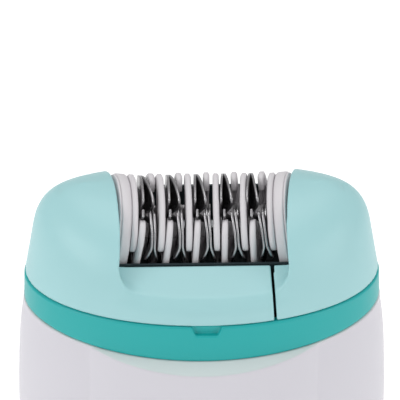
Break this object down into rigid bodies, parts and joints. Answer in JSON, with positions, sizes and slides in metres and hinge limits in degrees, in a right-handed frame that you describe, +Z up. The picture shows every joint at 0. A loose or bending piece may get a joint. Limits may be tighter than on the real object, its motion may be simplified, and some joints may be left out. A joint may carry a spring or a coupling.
{
  "type": "epilator",
  "caption": "Corded hand-held epilator: oval tapering handle with a slide switch and a lift-off head whose drum of tilted tweezing discs pinches hair and turns.",
  "frame": {"origin": "centre of the flat resting face at the bottom of the handle", "axes": "+Z up through the handle to the head, X along the drum, -Y is the front with the switch"},
  "size_m": [0.0702, 0.0482, 0.1367],
  "materials": {
    "white_shell": "satin",
    "teal": "satin",
    "mint": "satin",
    "disc_white": "matte",
    "blade_steel": "brushed",
    "chassis_black": "matte",
    "grey_plastic": "matte",
    "gear_white": "matte",
    "steel": "bright",
    "nickel": "bright",
    "armature": "wound copper",
    "brass": "bright",
    "board": "laminate",
    "lead_insulation": "matte"
  },
  "bodies": {
    "handle": {"handle_front_shell": "white_shell", "handle_back_shell": "white_shell", "trim_ring": "teal", "head_deck": "chassis_black", "deck_screws": "steel", "base_cap": "white_shell", "shell_screws": "steel", "switch_body": "grey_plastic", "circuit_board": "board", "motor_can": "steel", "motor_end_cap": "chassis_black", "motor_screws": "steel", "gear_frame": "grey_plastic", "socket_housing": "chassis_black", "socket_pin": "nickel", "leads": "lead_insulation", "release_spring": "steel"},
    "switch": {"switch_knob": "white_shell", "switch_carrier": "chassis_black"},
    "release": {"release_button": "teal"},
    "rotor": {"motor_shaft": "steel", "motor_armature": "armature", "motor_pinion": "brass"},
    "countershaft": {"crown_gear": "gear_white", "countershaft": "steel", "handle_gear": "gear_white"},
    "head": {"head_shell": "mint", "head_side_shell": "mint", "head_chassis": "chassis_black", "head_screws": "steel", "bearing_plate_left": "grey_plastic", "bearing_plate_right": "grey_plastic", "idler_pin": "steel"},
    "idler": {"idler_gear": "gear_white"},
    "drum": {"drum_axle": "steel", "drum_gear": "gear_white"},
    "end_left": {"end_disc_left": "disc_white"},
    "station_01": {"disc_01": "disc_white", "tweezers_01": "blade_steel"},
    "station_02": {"disc_02": "disc_white", "tweezers_02": "blade_steel"},
    "station_03": {"disc_03": "disc_white", "tweezers_03": "blade_steel"},
    "station_04": {"disc_04": "disc_white", "tweezers_04": "blade_steel"},
    "station_05": {"disc_05": "disc_white", "tweezers_05": "blade_steel"},
    "station_06": {"disc_06": "disc_white", "tweezers_06": "blade_steel"},
    "station_07": {"disc_07": "disc_white", "tweezers_07": "blade_steel"},
    "station_08": {"disc_08": "disc_white", "tweezers_08": "blade_steel"},
    "station_09": {"disc_09": "disc_white", "tweezers_09": "blade_steel"},
    "station_10": {"disc_10": "disc_white", "tweezers_10": "blade_steel"},
    "station_11": {"disc_11": "disc_white"},
    "end_right": {"end_disc_right": "disc_white"}
  },
  "joints": [
    {"name": "switch_slide", "type": "slide", "parent": "handle", "child": "switch", "axis": [0, 0, 1], "range_m": [0, 0.008]},
    {"name": "release_press", "type": "slide", "parent": "handle", "child": "release", "axis": [0, -1, 0], "range_m": [0, 0.0014], "stiffness_N_per_m": 900, "springref_m": -0.0006, "deforming": ["release_spring"]},
    {"name": "rotor_spin", "type": "hinge", "parent": "handle", "child": "rotor", "pos_m": [0, 0, 0.061], "axis": [0, 0, 1], "continuous": true},
    {"name": "countershaft_spin", "type": "hinge", "parent": "handle", "child": "countershaft", "pos_m": [0, 0, 0.1048], "axis": [1, 0, 0], "continuous": true},
    {"name": "head_lift", "type": "slide", "parent": "handle", "child": "head", "axis": [0, 0, 1], "range_m": [0, 0.012]},
    {"name": "idler_spin", "type": "hinge", "parent": "head", "child": "idler", "pos_m": [0, 0, 0.1156], "axis": [1, 0, 0], "continuous": true},
    {"name": "drum_spin", "type": "hinge", "parent": "head", "child": "drum", "pos_m": [0, 0, 0.1264], "axis": [1, 0, 0], "continuous": true},
    {"name": "end_left_spin", "type": "hinge", "parent": "head", "child": "end_left", "pos_m": [-0.0163, 0, 0.1264], "axis": [0.9736, 0.1406, -0.1799], "continuous": true},
    {"name": "station_01_spin", "type": "hinge", "parent": "head", "child": "station_01", "pos_m": [-0.01365, 0, 0.1264], "axis": [0.9814, 0.118, -0.1511], "continuous": true},
    {"name": "station_02_spin", "type": "hinge", "parent": "head", "child": "station_02", "pos_m": [-0.01092, 0, 0.1264], "axis": [0.9881, 0.0946, -0.1211], "continuous": true},
    {"name": "station_03_spin", "type": "hinge", "parent": "head", "child": "station_03", "pos_m": [-0.00819, 0, 0.1264], "axis": [0.9933, 0.0711, -0.091], "continuous": true},
    {"name": "station_04_spin", "type": "hinge", "parent": "head", "child": "station_04", "pos_m": [-0.00546, 0, 0.1264], "axis": [0.997, 0.0475, -0.0608], "continuous": true},
    {"name": "station_05_spin", "type": "hinge", "parent": "head", "child": "station_05", "pos_m": [-0.00273, 0, 0.1264], "axis": [0.9993, 0.0237, -0.0304], "continuous": true},
    {"name": "station_06_spin", "type": "hinge", "parent": "head", "child": "station_06", "pos_m": [0, 0, 0.1264], "axis": [1, 0, 0], "continuous": true},
    {"name": "station_07_spin", "type": "hinge", "parent": "head", "child": "station_07", "pos_m": [0.00273, 0, 0.1264], "axis": [0.9993, -0.0237, 0.0304], "continuous": true},
    {"name": "station_08_spin", "type": "hinge", "parent": "head", "child": "station_08", "pos_m": [0.00546, 0, 0.1264], "axis": [0.997, -0.0475, 0.0608], "continuous": true},
    {"name": "station_09_spin", "type": "hinge", "parent": "head", "child": "station_09", "pos_m": [0.00819, 0, 0.1264], "axis": [0.9933, -0.0711, 0.091], "continuous": true},
    {"name": "station_10_spin", "type": "hinge", "parent": "head", "child": "station_10", "pos_m": [0.01092, 0, 0.1264], "axis": [0.9881, -0.0946, 0.1211], "continuous": true},
    {"name": "station_11_spin", "type": "hinge", "parent": "head", "child": "station_11", "pos_m": [0.01365, 0, 0.1264], "axis": [0.9814, -0.118, 0.1511], "continuous": true},
    {"name": "end_right_spin", "type": "hinge", "parent": "head", "child": "end_right", "pos_m": [0.0163, 0, 0.1264], "axis": [0.9736, -0.1406, 0.1799], "continuous": true}
  ],
  "couplings": [
    {"joint": "countershaft_spin", "follows": "rotor_spin", "ratio": 0.25},
    {"joint": "idler_spin", "follows": "rotor_spin", "ratio": -0.25},
    {"joint": "drum_spin", "follows": "rotor_spin", "ratio": 0.25},
    {"joint": "end_left_spin", "follows": "rotor_spin", "ratio": 0.25},
    {"joint": "station_01_spin", "follows": "rotor_spin", "ratio": 0.25},
    {"joint": "station_02_spin", "follows": "rotor_spin", "ratio": 0.25},
    {"joint": "station_03_spin", "follows": "rotor_spin", "ratio": 0.25},
    {"joint": "station_04_spin", "follows": "rotor_spin", "ratio": 0.25},
    {"joint": "station_05_spin", "follows": "rotor_spin", "ratio": 0.25},
    {"joint": "station_06_spin", "follows": "rotor_spin", "ratio": 0.25},
    {"joint": "station_07_spin", "follows": "rotor_spin", "ratio": 0.25},
    {"joint": "station_08_spin", "follows": "rotor_spin", "ratio": 0.25},
    {"joint": "station_09_spin", "follows": "rotor_spin", "ratio": 0.25},
    {"joint": "station_10_spin", "follows": "rotor_spin", "ratio": 0.25},
    {"joint": "station_11_spin", "follows": "rotor_spin", "ratio": 0.25},
    {"joint": "end_right_spin", "follows": "rotor_spin", "ratio": 0.25}
  ]
}
